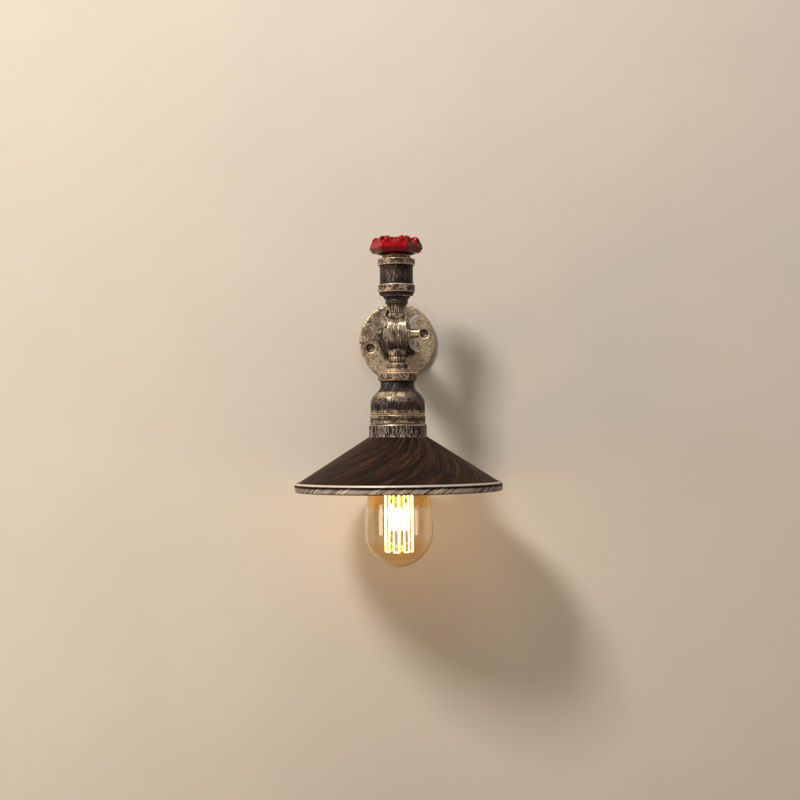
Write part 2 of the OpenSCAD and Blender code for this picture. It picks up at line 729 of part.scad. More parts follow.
module shade_ring() {
    low = seat_z - sheet_t - shade_ring_h;
    grips = 24;
    color(ceramic) on_lamp_axis() difference() {
        tube(shade_ring_d / 2, holder_d / 2 + thread_gap, low, seat_z - sheet_t);
        for (i = [0:grips - 1]) rotate([0, 0, i * 360 / grips])
            translate([shade_ring_d / 2 + 0.4, 0, low - 1]) cylinder(r = 1.3, h = shade_ring_h + 2);
    }
}

module shade() {
    t = sheet_t;
    neck_r = neck_d / 2;
    neck_round = 1.4;
    lip_r = lip_t / 2;
    lip_rise = 0.6;
    cone_r = shade_r - lip_r - 1.1;
    slope = atan2(cone_drop, cone_r - neck_r);
    drop = t / cos(slope);
    hole_r = holder_d / 2 + 0.3;
    lip_mid = (lip_top + lip_bottom) / 2;
    color(bronze) on_lamp_axis() turned(concat(
        [[hole_r, seat_z - t], [hole_r, seat_z]],
        arc([neck_r - neck_round, seat_z - neck_round], neck_round, 90, 0, 4),
        [[neck_r, neck_bottom], [cone_r, lip_top]],
        arc([shade_r - lip_r, lip_top - lip_r + lip_rise], lip_r, 75, 0, 5),
        arc([shade_r - lip_r, lip_bottom + lip_r], lip_r, 0, -180, 8),
        [[shade_r - lip_t, lip_mid], [cone_r - 1.2, lip_top - drop]],
        [[neck_r - t + 0.2, neck_bottom - drop], [neck_r - t, seat_z - t - neck_round]],
        [[neck_r - t - 1.2, seat_z - t]]));
}

module bulb_cap() {
    flute = thread_pitch / 4;
    thread_top = cap_end + 4 + thread_turns * thread_pitch;
    color(brass) on_lamp_axis() turned(concat(
        [[cap_r - shell_t, cap_end], [cap_r - eps, cap_end], [cap_r - eps, cap_end + 4]],
        [for (i = [0:thread_turns * 4 - 1]) [cap_r - 0.5 + 0.5 * cos(i * 90), cap_end + 4 + i * flute]],
        [[cap_r - 0.3, thread_top], [cap_r - 2.2, bulb_top - 4], [cap_r - 2.6, bulb_top - 4]],
        [[cap_r - 1.4, thread_top], [cap_r - 1.4, cap_end + 5], [cap_r - shell_t, cap_end + 4]]));
}

module cap_insulator() {
    color(black_glass) on_lamp_axis() turned([
        [0, bulb_top - 1.6], [5, bulb_top - 1.6], [cap_r - 2.8, bulb_top - 4], [cap_r - 2.8, bulb_top - 5.6],
        [0, bulb_top - 5.6]]);
}

module cap_contact() {
    color(steel) on_lamp_axis() turned([
        [0, bulb_top], [2.6, bulb_top], [4.2, bulb_top - 0.6], [4.6, bulb_top - 1.6], [0, bulb_top - 1.6]]);
}

// Outline of the bulb from its neck in the cap to its tip, drawn inwards by a wall thickness
function bulb_outline(t) = concat(
    [[inner_neck_r - t, cap_end + 16], [inner_neck_r - t, cap_end + 5], [neck_r - t, cap_end + 2.5]],
    curve([neck_r - t, cap_end], [neck_r + 3.4 - t, cap_end - 11], [bulb_r - t, cap_end - 9.7],
        [bulb_r - t, bulb_wide_z], 18),
    curve([bulb_r - t, bulb_wide_z - 1], [bulb_r - t, bulb_wide_z - bulb_r * 0.58 + t / 2],
        [bulb_r / 2 - t, bulb_tip + t], [0, bulb_tip + t], 14));

module bulb_glass() {
    outside = bulb_outline(0);
    inside = bulb_outline(glass_t);
    last = len(inside) - 1;
    color(amber) on_lamp_axis() turned(concat(outside, [for (i = [0:last]) inside[last - i]]));
}

module bulb_stem() {
    flare_z = cap_end + 12;
    flare_r = inner_neck_r - glass_t - 0.1;
    color(clear) on_lamp_axis() {
        turned(concat(
            [[0, flare_z], [flare_r, flare_z]],
            curve([flare_r, flare_z - 1], [stem_r + 1, flare_z - 5], [stem_r, flare_z - 9],
                [stem_r, flare_z - 15], 6),
            [[stem_r, press_top + 3], [stem_r - 1.6, press_top], [0, press_top]]));
        translate([-press_w / 2, -press_t / 2, press_top - press_h]) cube([press_w, press_t, press_h]);
        turned([[0, press_top - press_h], [1.3, press_top - press_h], [1.3, button_z + 2],
            [2.4, button_z + 1], [2.4, button_z - 1], [1.2, button_z - 2], [0, button_z - 2]]);
    }
}

// Places a thing at each strand, at each gap between strands, or at a part of them
module round_cage(from, step, count) {
    for (i = [0:count - 1]) rotate([0, 0, from + i * step]) children();
}

module filament() {
    step = 360 / strand_count;
    lap = 0.5;
    color(glow) on_lamp_axis() rotate([0, 0, cage_turn]) {
        round_cage(step / 2, step, strand_count) translate([cage_r, 0, cage_bottom - strand_d * 0.2])
            cylinder(d = strand_d, h = cage_top - cage_bottom + strand_d * 0.4);
        round_cage(step / 2 - lap, step * 2, hook_count) translate([0, 0, cage_bottom])
            rotate_extrude(angle = step + 2 * lap) translate([cage_r, 0]) circle(d = strand_d * 0.9);
        round_cage(step * 3 / 2 - lap, step * 2, hook_count - 1) translate([0, 0, cage_top])
            rotate_extrude(angle = step + 2 * lap) translate([cage_r, 0]) circle(d = strand_d * 0.9);
    }
}

// A wire that runs out from the lamp axis between two radii
module spoke(from, to, z) {
    translate([from, 0, z]) to_the_right() cylinder(d = hook_d, h = to - from);
}

module filament_supports() {
    step = 360 / strand_count;
    hook_end = cage_r - strand_d / 2 - 0.05;
    color(steel) on_lamp_axis() rotate([0, 0, cage_turn]) {
        round_cage(step, step * 2, hook_count) spoke(2.4, hook_end, cage_bottom);
        round_cage(step * 2, step * 2, hook_count - 1) spoke(stem_r, hook_end, cage_top);
        round_cage(-step / 2, step, 2) spoke(stem_r, hook_end, cage_top);
    }
}

wall_flange();
arm_nipple();
arm_bushing();
knuckle_arm();
nut_washer();
knuckle_head();
pivot_bolt();
friction_washer();
upper_bushing();
upper_coupling();
bonnet_plug();
lower_bushing();
bell_reducer();
lamp_nipple();
nipple_locknut();
holder_dome();
holder_core();
screw_shell();
centre_contact();
terminal_screws();
holder_skirt();
shade();
shade_ring();
bulb_cap();
cap_insulator();
cap_contact();
bulb_glass();
bulb_stem();
filament_supports();
filament();
handwheel();
wheel_spindle();
wheel_washer();
wheel_nut();
wing_nut();
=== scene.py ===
"""Dresses the frame of a wall light made of pipe fittings, with a brushed shade and a lit bulb."""

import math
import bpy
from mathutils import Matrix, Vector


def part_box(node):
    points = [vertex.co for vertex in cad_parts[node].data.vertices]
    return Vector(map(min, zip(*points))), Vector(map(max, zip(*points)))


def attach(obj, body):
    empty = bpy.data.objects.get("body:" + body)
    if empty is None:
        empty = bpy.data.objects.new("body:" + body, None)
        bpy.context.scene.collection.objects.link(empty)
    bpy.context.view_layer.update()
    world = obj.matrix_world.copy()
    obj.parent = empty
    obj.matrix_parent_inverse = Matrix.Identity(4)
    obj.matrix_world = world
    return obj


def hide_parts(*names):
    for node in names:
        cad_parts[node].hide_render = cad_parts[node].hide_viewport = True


bl_info = {
    "name": "Pipe Wall Light",
    "version": (1, 0, 0),
    "blender": (4, 5, 0),
    "location": "View3D > Sidebar > Wall Light",
    "description": "Dresses the frame of a pipe wall light with bronze, enamel and a lit bulb",
    "category": "Object",
}

import bmesh
import bpy
import numpy as np
from bpy.props import FloatProperty, FloatVectorProperty, IntProperty, PointerProperty
from mathutils import Vector, noise

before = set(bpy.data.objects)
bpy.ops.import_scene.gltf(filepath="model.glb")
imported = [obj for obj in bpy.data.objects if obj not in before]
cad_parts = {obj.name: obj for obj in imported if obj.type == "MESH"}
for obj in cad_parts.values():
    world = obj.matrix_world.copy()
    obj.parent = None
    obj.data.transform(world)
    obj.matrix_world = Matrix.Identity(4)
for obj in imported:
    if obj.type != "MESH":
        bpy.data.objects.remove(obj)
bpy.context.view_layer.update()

MM = 0.001
# Side of the key light: what faces it gets a painted highlight, what turns from it painted shade
UP_FRONT = Vector((-0.25, -0.60, 0.76))
# Heights of the shade's neck and of its rolled lip, in millimetres
NECK_HEIGHT = 12.4
LIP_HEIGHT = 8.9


def middle(node):
    """The middle of a node's box."""
    low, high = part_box(node)
    return (low + high) / 2


LAMP_AXIS = Vector((0, middle("upper_coupling").y, 0))


# Settings


def colour(name, description, default):
    return FloatVectorProperty(
        name=name, description=description, subtype="COLOR", size=3, min=0, max=1, default=default
    )


def length(name, description, default):
    return FloatProperty(
        name=name, description=description, unit="LENGTH", min=0, precision=5, default=default
    )


class CastingSettings(bpy.types.PropertyGroup):
    """Antique bronze of the cast fittings"""

    coat: colour("Coat", "Dark coat under the rubbed bronze", (0.009, 0.008, 0.008))
    warm: colour("Warm coat", "Brown that the coat turns to in patches", (0.040, 0.020, 0.011))
    rub: colour("Rub", "Pewter grey that is brushed over the coat", (0.38, 0.33, 0.29))
    # Also the colour of the painted highlight on surfaces that face the key light
    gilt: colour("Gilt", "Bright bronze on the worn edges", (0.86, 0.60, 0.38))
    flange: colour("Flange", "Pale bronze of the wall flange", (0.46, 0.345, 0.23))
    skin: length("Skin", "Depth of the uneven cast skin", 0.00014)
    grain: length("Grain", "Width of the bumps in the cast skin", 0.0032)


class EnamelSettings(bpy.types.PropertyGroup):
    """Enamel of the handwheel"""

    enamel: colour("Enamel", "Colour of the enamel", (0.40, 0.002, 0.005))
    # Thick enamel is also the colour of the painted shade under the wheel's skirt
    shadow: colour("Thick enamel", "Colour where the enamel has run together", (0.07, 0.001, 0.002))


class ShadeSettings(bpy.types.PropertyGroup):
    """Brushed shade"""

    coat: colour("Coat", "Dark coat of the shade", (0.006, 0.004, 0.003))
    stroke: colour("Strokes", "Copper brushed over the coat", (0.54, 0.20, 0.070))
    pale: colour("Pale strokes", "Strokes on the neck and the lip", (0.64, 0.50, 0.40))
    inside: colour("Inside", "Bronze inside the shade", (0.34, 0.17, 0.07))
    swirl: FloatProperty(
        name="Swirl",
        description="Turn of the strokes for each metre away from the axis",
        subtype="ANGLE",
        default=math.radians(530),
    )
    steps: IntProperty(name="Steps", description="Number of facets round the shade", min=48, default=192)


class BulbSettings(bpy.types.PropertyGroup):
    """Lit bulb"""

    tint: colour("Tint", "Amber tint of the glass round its widest part", (0.98, 0.93, 0.81))
    # Painted reflections, as a deeper tint near the neck and the tip
    painted_reflection: colour("Deep tint", "Tint of the glass at its neck and its tip", (0.96, 0.78, 0.44))
    glow: colour("Glow", "Colour of the lit filament", (1.0, 0.70, 0.33))
    strength: FloatProperty(
        name="Strength", description="Strength of the filament's light", min=0, default=8
    )
    lamp: FloatProperty(
        name="Lamp",
        description="Power of the light that the bulb gives",
        unit="POWER",
        min=0,
        default=0.12,
    )


class StageSettings(bpy.types.PropertyGroup):
    """Wall, floor, lights and camera"""

    wall: colour("Wall", "Colour of the wall and the floor", (0.70, 0.62, 0.52))
    distance: length("Distance", "Distance from the camera to the lamp's axis", 1.43)
    height: FloatProperty(
        name="Height", description="Height of the camera from the pivot", unit="LENGTH", default=-0.099
    )
    lens: FloatProperty(name="Lens", description="Focal length in millimetres", min=1, default=64.35)
    rise: FloatProperty(name="Rise", description="Upward shift of the view", default=0.041)
    roll: FloatProperty(
        name="Roll",
        description="Turn of the camera about its own axis",
        subtype="ANGLE",
        default=math.radians(0.6),
    )
    floor: FloatProperty(
        name="Floor", description="Height of the floor from the pivot", unit="LENGTH", default=-0.55
    )


# Meshes


def merged_copy(node):
    """A bmesh of a node with its loose triangles joined."""
    bm = bmesh.new()
    bm.from_mesh(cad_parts[node].data)
    bmesh.ops.remove_doubles(bm, verts=bm.verts[:], dist=1e-6)
    return bm


def softened(node, grain, passes):
    """A bmesh of a node with its edges rounded as a casting has them."""
    bm = merged_copy(node)
    mesh = bpy.data.meshes.new("softened")
    bm.to_mesh(mesh)
    bm.free()
    ob = bpy.data.objects.new("softened", mesh)
    bpy.context.scene.collection.objects.link(ob)
    skin = ob.modifiers.new("Skin", "REMESH")
    skin.mode = "VOXEL"
    skin.voxel_size = grain
    rounding = ob.modifiers.new("Rounding", "SMOOTH")
    rounding.factor = 0.5
    rounding.iterations = passes
    bm = bmesh.new()
    bm.from_object(ob, bpy.context.evaluated_depsgraph_get())
    bpy.data.objects.remove(ob)
    bpy.data.meshes.remove(mesh)
    return bm


def turned(outline, steps=128, spacing=1.2 * MM):
    """A bmesh of a closed outline spun round the lamp's axis.

    The outline's points are (radius, height, rounding), in millimetres. The spacing is that of its points
    once it is divided.
    """
    outline = [tuple(value * MM for value in point) for point in outline]
    bm = bmesh.new()
    corners = [bm.verts.new((radius, 0, height)) for radius, height, _ in outline]
    for start, end in zip(corners, corners[1:] + corners[:1]):
        bm.edges.new((start, end))
    for rounding in sorted({point[2] for point in outline} - {0}):
        bmesh.ops.bevel(
            bm,
            geom=[v for v, point in zip(corners, outline) if point[2] == rounding],
            offset=rounding,
            offset_type="OFFSET",
            segments=4,
            profile=0.5,
            affect="VERTICES",
            material=-1,
        )
    for edge in bm.edges[:]:
        cuts = int(edge.calc_length() / spacing)
        if cuts:
            bmesh.ops.subdivide_edges(bm, edges=[edge], cuts=cuts)
    bmesh.ops.spin(
        bm,
        geom=bm.verts[:] + bm.edges[:],
        cent=(0, 0, 0),
        axis=(0, 0, 1),
        dvec=(0, 0, 0),
        angle=2 * math.pi,
        steps=steps,
        use_merge=True,
    )
    bmesh.ops.remove_doubles(bm, verts=bm.verts[:], dist=1e-6)
    bmesh.ops.recalc_face_normals(bm, faces=bm.faces[:])
    bmesh.ops.translate(bm, vec=LAMP_AXIS, verts=bm.verts[:])
    return bm


def roughen(bm, depth, grain):
    """Presses the surface in unevenly, as a sand mould leaves it."""
    bm.normal_update()
    for v in bm.verts:
        swell = noise.noise(v.co / grain) + 0.5 * noise.noise(v.co * 2.7 / grain)
        v.co -= v.normal * depth * min(max(0.5 + 0.5 * swell, 0), 1)
    return bm


def diffused(value, start, end, passes):
    """Spreads a value over the points of a mesh along its edges."""
    count = len(value)
    neighbours = np.bincount(start, minlength=count) + np.bincount(end, minlength=count)
    for _ in range(passes):
        total = np.bincount(start, value[end], count) + np.bincount(end, value[start], count)
        value = 0.4 * value + 0.6 * total / np.maximum(neighbours, 1)
    return value


def values_of(items, name, width, kind=np.float32):
    """A property of a mesh's points or edges, as an array with one row for each."""
    values = np.empty(len(items) * width, kind)
    items.foreach_get(name, values)
    return values.reshape(-1, width)


def mark_edges(mesh, reach=0.9 * MM, sharp=0.5 * MM, broad=2.2 * MM):
    """Writes three point attributes.

    Edge and relief are 0.5 on a flat, 1 on a ridge and 0 in a hollow. Edge keeps to the edges, and relief
    spreads over narrow rings and lugs. The third says how much a point faces the key light, for the
    painted highlight and painted shade of the finishes.
    """
    count = len(mesh.vertices)
    place = values_of(mesh.vertices, "co", 3)
    normal = values_of(mesh.vertices, "normal", 3)
    start, end = values_of(mesh.edges, "vertices", 2, np.int32).T
    step = place[end] - place[start]
    square = (step**2).sum(1) + 1e-12
    bend_at_start = -2 * (normal[start] * step).sum(1) / square
    bend_at_end = 2 * (normal[end] * step).sum(1) / square
    most = np.full(count, -1e9)
    least = np.full(count, 1e9)
    for ends, bend in ((start, bend_at_start), (end, bend_at_end)):
        np.maximum.at(most, ends, bend)
        np.minimum.at(least, ends, bend)
    value = 0.5 + 0.5 * np.clip(np.where(most > -least, most, least) * reach, -1, 1)
    spacing = float(np.sqrt(np.median(square)))
    most_passes = 120
    for name, spread in (("edge", sharp), ("relief", broad)):
        passes = int(min(most_passes, 1.5 * (spread / spacing) ** 2)) + 1
        layer = mesh.attributes.new(name, "FLOAT", "POINT")
        layer.data.foreach_set("value", diffused(value, start, end, passes).astype(np.float32))
    # How much each point faces the key light, which the finishes use for painted highlight and shade
    layer = mesh.attributes.new("slope", "FLOAT", "POINT")
    layer.data.foreach_set("value", (normal @ np.array(UP_FRONT, np.float32)).astype(np.float32))


def piece(name, bm, body, finish, stands_for, crease=40):
    """Makes an object from a bmesh, gives it its finish and lets it ride on a body of the frame."""
    mesh = bpy.data.meshes.new(name)
    bm.to_mesh(mesh)
    bm.free()
    mesh.materials.append(finish)
    mesh.polygons.foreach_set("use_smooth", [True] * len(mesh.polygons))
    mesh.set_sharp_from_angle(angle=math.radians(crease))
    mark_edges(mesh)
    ob = bpy.data.objects.new(name, mesh)
    bpy.context.scene.collection.objects.link(ob)
    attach(ob, body)
    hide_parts(*stands_for)
    return ob


def dress(finish, *nodes):
    """Gives nodes of the frame a better finish."""
    for name in nodes:
        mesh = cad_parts[name].data
        mesh.materials.clear()
        mesh.materials.append(finish)


# Finishes


class Graph:
    """Adds nodes to a node tree and joins them."""

    def __init__(self, tree):
        self.tree = tree

    def add(self, kind, sockets=None, **settings):
        node = self.tree.nodes.new(kind)
        for name, value in settings.items():
            setattr(node, name, value)
        for name, value in (sockets or {}).items():
            self.put(value, node.inputs[name])
        return node

    def put(self, value, socket):
        """Links an output to a socket, or sets the socket to a plain value."""
        if isinstance(value, bpy.types.NodeSocket):
            self.tree.links.new(value, socket)
        else:
            socket.default_value = value

    def feed(self, shader, **sockets):
        """Sets or links the shader's sockets. An underscore in a name stands for a space."""
        for name, value in sockets.items():
            self.put(value, shader.inputs[name.replace("_", " ")])

    def calc(self, operation, first, second):
        return self.add("ShaderNodeMath", {0: first, 1: second}, operation=operation).outputs[0]

    def plus(self, first, second):
        return self.calc("ADD", first, second)

    def minus(self, first, second):
        return self.calc("SUBTRACT", first, second)

    def times(self, first, second):
        return self.calc("MULTIPLY", first, second)

    def larger(self, first, second):
        return self.calc("MAXIMUM", first, second)

    def fade(self, value, low, high, to_low=0.0, to_high=1.0):
        """A value that changes smoothly between two limits."""
        node = self.add(
            "ShaderNodeMapRange",
            {"Value": value, "From Min": low, "From Max": high, "To Min": to_low, "To Max": to_high},
            interpolation_type="SMOOTHSTEP",
        )
        return node.outputs["Result"]

    def mix(self, share, first, second):
        """One colour over another."""
        sockets = {0: share, 6: rgba(first), 7: rgba(second)}
        return self.add("ShaderNodeMix", sockets, data_type="RGBA").outputs[2]

    def blend(self, share, first, second):
        """One value over another."""
        return self.add("ShaderNodeMix", {0: share, 2: first, 3: second}, data_type="FLOAT").outputs[0]

    def noise(self, vector, scale=1.0, detail=3.0, roughness=0.55):
        sockets = {"Vector": vector, "Scale": scale, "Detail": detail, "Roughness": roughness}
        return self.add("ShaderNodeTexNoise", sockets).outputs["Fac"]

    def scaled(self, vector, scale, location=(0, 0, 0)):
        sockets = {"Vector": vector, "Scale": scale, "Location": location}
        return self.add("ShaderNodeMapping", sockets).outputs["Vector"]

    def place(self):
        return self.add("ShaderNodeTexCoord").outputs["Object"]

    def sides(self, vector):
        """The X, Y and Z of a vector."""
        return self.add("ShaderNodeSeparateXYZ", {"Vector": vector}).outputs

    def vector(self, x, y, z=0.0):
        return self.add("ShaderNodeCombineXYZ", {"X": x, "Y": y, "Z": z}).outputs[0]

    def length(self, vector):
        return self.add("ShaderNodeVectorMath", {0: vector}, operation="LENGTH").outputs["Value"]

    def marked(self, name):
        """A value written on the mesh by mark_edges."""
        return self.add("ShaderNodeAttribute", attribute_name=name).outputs["Fac"]

    def group(self, tree, **sockets):
        return self.add("ShaderNodeGroup", sockets, node_tree=tree).outputs

    def bump(self, height, strength, depth):
        sockets = {"Height": height, "Strength": strength, "Distance": depth}
        return self.add("ShaderNodeBump", sockets).outputs["Normal"]


def rgba(value):
    return value if isinstance(value, bpy.types.NodeSocket) else (*value[:3], 1.0)


def toned(values, share):
    """A darker or paler version of a colour."""
    return [share * value for value in values]


def new_group(name, inputs, outputs):
    """An empty node group with named sockets, and its graph, input sockets and output node."""
    tree = bpy.data.node_groups.new(name, "ShaderNodeTree")
    for socket, kind in inputs.items():
        tree.interface.new_socket(name=socket, in_out="INPUT", socket_type=kind)
    for socket, kind in outputs.items():
        tree.interface.new_socket(name=socket, in_out="OUTPUT", socket_type=kind)
    graph = Graph(tree)
    return tree, graph, graph.add("NodeGroupInput").outputs, graph.add("NodeGroupOutput").inputs


VECTOR = "NodeSocketVector"
VALUE = "NodeSocketFloat"


def brush_strokes():
    """Strokes of a dry brush. The vector is already stretched along them."""
    tree, g, given, out = new_group("Brush Strokes", {"Vector": VECTOR, "Cover": VALUE}, {"Mask": VALUE})
    fine = g.noise(given["Vector"], 1.0, 5.0, 0.7)
    broad = g.noise(given["Vector"], 0.23, 2.0, 0.5)
    blend = g.plus(g.times(fine, 0.72), g.times(broad, 0.28))
    bare = g.minus(0.70, g.times(given["Cover"], 0.45))
    g.put(g.fade(g.minus(blend, bare), 0.0, 0.18), out["Mask"])
    return tree


def worn_edges():
    """Edges rubbed bright, and hollows left dark, partly where the brush missed and partly as painted
    shade.
    """
    inputs = {"Vector": VECTOR, "Edge": VALUE, "Wear": VALUE}
    tree, g, given, out = new_group("Worn Edges", inputs, {"Bright": VALUE, "Hollow": VALUE})
    patchy = g.minus(g.noise(given["Vector"], 420.0, 4.0, 0.6), 0.5)
    broad = g.minus(g.noise(given["Vector"], 75.0, 2.0), 0.5)
    uneven = g.plus(g.times(patchy, 0.35), g.times(broad, 0.45))
    height = g.plus(given["Edge"], uneven)
    start = g.minus(0.86, g.times(given["Wear"], 0.26))
    g.put(g.fade(g.minus(height, start), 0.0, 0.14), out["Bright"])
    g.put(g.fade(given["Edge"], 0.47, 0.28), out["Hollow"])
    return tree


def cast_grain():
    """Fine pits and bumps of a sand casting."""
    tree, g, given, out = new_group("Cast Grain", {"Vector": VECTOR}, {"Height": VALUE, "Speckle": VALUE})
    sand = g.noise(given["Vector"], 1500.0, 3.0, 0.6)
    lumps = g.noise(given["Vector"], 380.0, 2.0, 0.5)
    g.put(g.plus(g.times(sand, 0.45), g.times(lumps, 0.55)), out["Height"])
    g.put(g.fade(sand, 0.52, 0.68), out["Speckle"])
    return tree


def swirl():
    """Turns a vector round the z axis, more so far from it, so that strokes along it curve."""
    tree, g, given, out = new_group("Swirl", {"Vector": VECTOR, "Turn": VALUE}, {"Vector": VECTOR})
    x, y, z = g.sides(given["Vector"])
    flat = g.vector(x, y)
    run = g.minus(g.length(flat), g.times(z, 0.8))
    sockets = {"Vector": flat, "Angle": g.times(run, given["Turn"])}
    spun = g.add("ShaderNodeVectorRotate", sockets, rotation_type="Z_AXIS").outputs[0]
    unit = g.add("ShaderNodeVectorMath", {0: spun}, operation="NORMALIZE").outputs[0]
    x, y, _ = g.sides(unit)
    g.put(g.vector(x, y, run), out["Vector"])
    return tree


def new_finish(name):
    """A material with its graph and its shader."""
    material = bpy.data.materials.new(name)
    material.use_nodes = True
    return material, Graph(material.node_tree), material.node_tree.nodes["Principled BSDF"]


def let_through(material, g, shader, share, tint=(1, 1, 1)):
    """Makes the material clear wherever the share is one."""
    clear = g.add("ShaderNodeBsdfTransparent", {"Color": (*tint, 1)}).outputs[0]
    mixed = g.add("ShaderNodeMixShader", {0: share, 1: shader.outputs[0], 2: clear})
    g.put(mixed.outputs[0], material.node_tree.nodes["Material Output"].inputs["Surface"])


def lamp_rays(g):
    """A value of one for the rays that carry the lamps' light, and of nothing for all others."""
    path = g.add("ShaderNodeLightPath").outputs
    return g.larger(path["Is Shadow Ray"], path["Is Diffuse Ray"])


def antique_bronze(
    name, groups, c, coats, rub, cover, stretch,
    wear=0.5, grain=0.4 * MM, rough=0.42, drift=0.0, gather=1.0, pits=0.35, sparse=0.12, painted_shade=None,
):
    """Dark coat brushed with a paler metal, which gathers on the raised rings and is rubbed off the edges.

    Surfaces facing the key light get more metal and gilt as a painted highlight, and sides turned from it
    keep little metal as painted shade. The coats are its two darks, rub is the metal, cover says how much
    of it there is and drift how much more towards the lower right. Gather is what stays on the rings, pits
    how dark the pits are, and sparse what is left of the brushing between its patches. The painted shade
    mask darkens where shade falls, under and between parts and in recesses.
    """
    material, g, shader = new_finish(name)
    place = g.place()
    relief, slope = g.marked("relief"), g.marked("slope")
    # Painted highlight: surfaces that face the key light get more metal and gilt
    painted_sheen = g.times(g.fade(slope, 0.62, 0.97), g.fade(relief, 0.475, 0.505))
    raised = g.times(g.fade(relief, 0.51, 0.58), gather)
    across = g.add("ShaderNodeVectorMath", {0: place, 1: (0.7, 0, -0.7)}, operation="DOT_PRODUCT")
    drifted = g.fade(across.outputs["Value"], -30 * MM, 35 * MM, cover - drift, cover + drift)
    brushing = g.plus(drifted, g.times(painted_sheen, 0.30))
    strokes = g.group(groups["strokes"], Vector=g.scaled(place, stretch), Cover=brushing)["Mask"]
    mottle = g.fade(g.noise(place, 480.0, 5.0, 0.7), 0.42, 0.58)
    pitting = g.noise(g.scaled(place, [1.2 * value for value in stretch]), 1.0, 3.0, 0.6)
    cast = g.group(groups["grain"], Vector=place)
    worn = g.group(groups["worn"], Vector=place, Edge=g.marked("edge"), Wear=wear)
    ground = g.mix(g.fade(g.noise(place, 65.0, 2.0), 0.42, 0.62), *coats)
    brushed = g.times(strokes, g.fade(g.noise(place, 120.0, 3.0), 0.38, 0.60, sparse, 1.0))
    patches = g.fade(g.noise(place, 90.0, 2.0), 0.40, 0.58, 0.10, 1.0)
    ring = g.times(g.times(raised, patches), g.fade(mottle, 0.0, 1.0, 0.05, 0.95))
    # Painted shade: sides turned from the key light keep a quarter of the metal
    painted_light_share = g.fade(slope, -0.15, 0.25, 0.25, 1.0)
    rubbed = g.times(g.larger(brushed, ring), painted_light_share)
    metal = g.larger(rubbed, worn["Bright"])
    # Gilt on the raised rings, and a painted highlight where the surface faces the key light
    golden = g.larger(g.times(raised, 0.7), g.times(painted_sheen, 0.9))
    painted = g.mix(rubbed, ground, g.mix(golden, rub, c.gilt))
    bright = g.mix(g.times(worn["Bright"], 0.85), painted, c.gilt)
    # Hollows stay dark, partly the coat the brush missed and partly painted shade in creases
    hollow = g.larger(g.times(worn["Hollow"], 0.9), g.fade(pitting, 0.50, 0.60, 0.0, pits))
    # Painted shade where it falls under and between parts and in recesses
    if painted_shade:
        hollow = g.larger(hollow, painted_shade(g, place))
    dull = g.plus(g.minus(rough, g.times(metal, 0.12)), g.times(hollow, 0.2))
    g.feed(
        shader,
        Base_Color=g.mix(hollow, bright, toned(c.coat, 0.4)),
        Metallic=g.times(metal, 0.65),
        Roughness=g.plus(dull, g.times(cast["Speckle"], 0.10)),
        Normal=g.bump(g.plus(cast["Height"], g.times(rubbed, 0.3)), 0.7, grain),
        Specular_IOR_Level=0.18,
    )
    return material


def dark_from(start, full, most=0.9):
    """A painted shade mask that grows dark from one height to another and stays so beyond it."""

    def mask(g, place):
        uneven = g.times(g.minus(g.noise(place, 300.0, 3.0), 0.5), 2 * MM)
        return g.fade(g.plus(g.sides(place)["Z"], uneven), start, full, 0.0, most)

    return mask


def flange_recess(g, place):
    """Painted shade in the countersinks, and a painted contact shadow in a ring where the flange meets its
    boss.
    """
    x, y, z = g.sides(place)
    radius = g.length(g.vector(x, z))
    uneven = g.plus(radius, g.times(g.noise(place, 110.0, 3.0), 12 * MM))
    foot = g.fade(uneven, 31 * MM, 25 * MM, 0.0, 0.9)
    sunk = g.fade(y, -5.0 * MM, -4.4 * MM)
    inside = g.fade(radius, 38 * MM, 37 * MM)
    front = g.fade(y, -0.4 * MM, -0.9 * MM)
    return g.times(front, g.larger(foot, g.times(sunk, inside)))


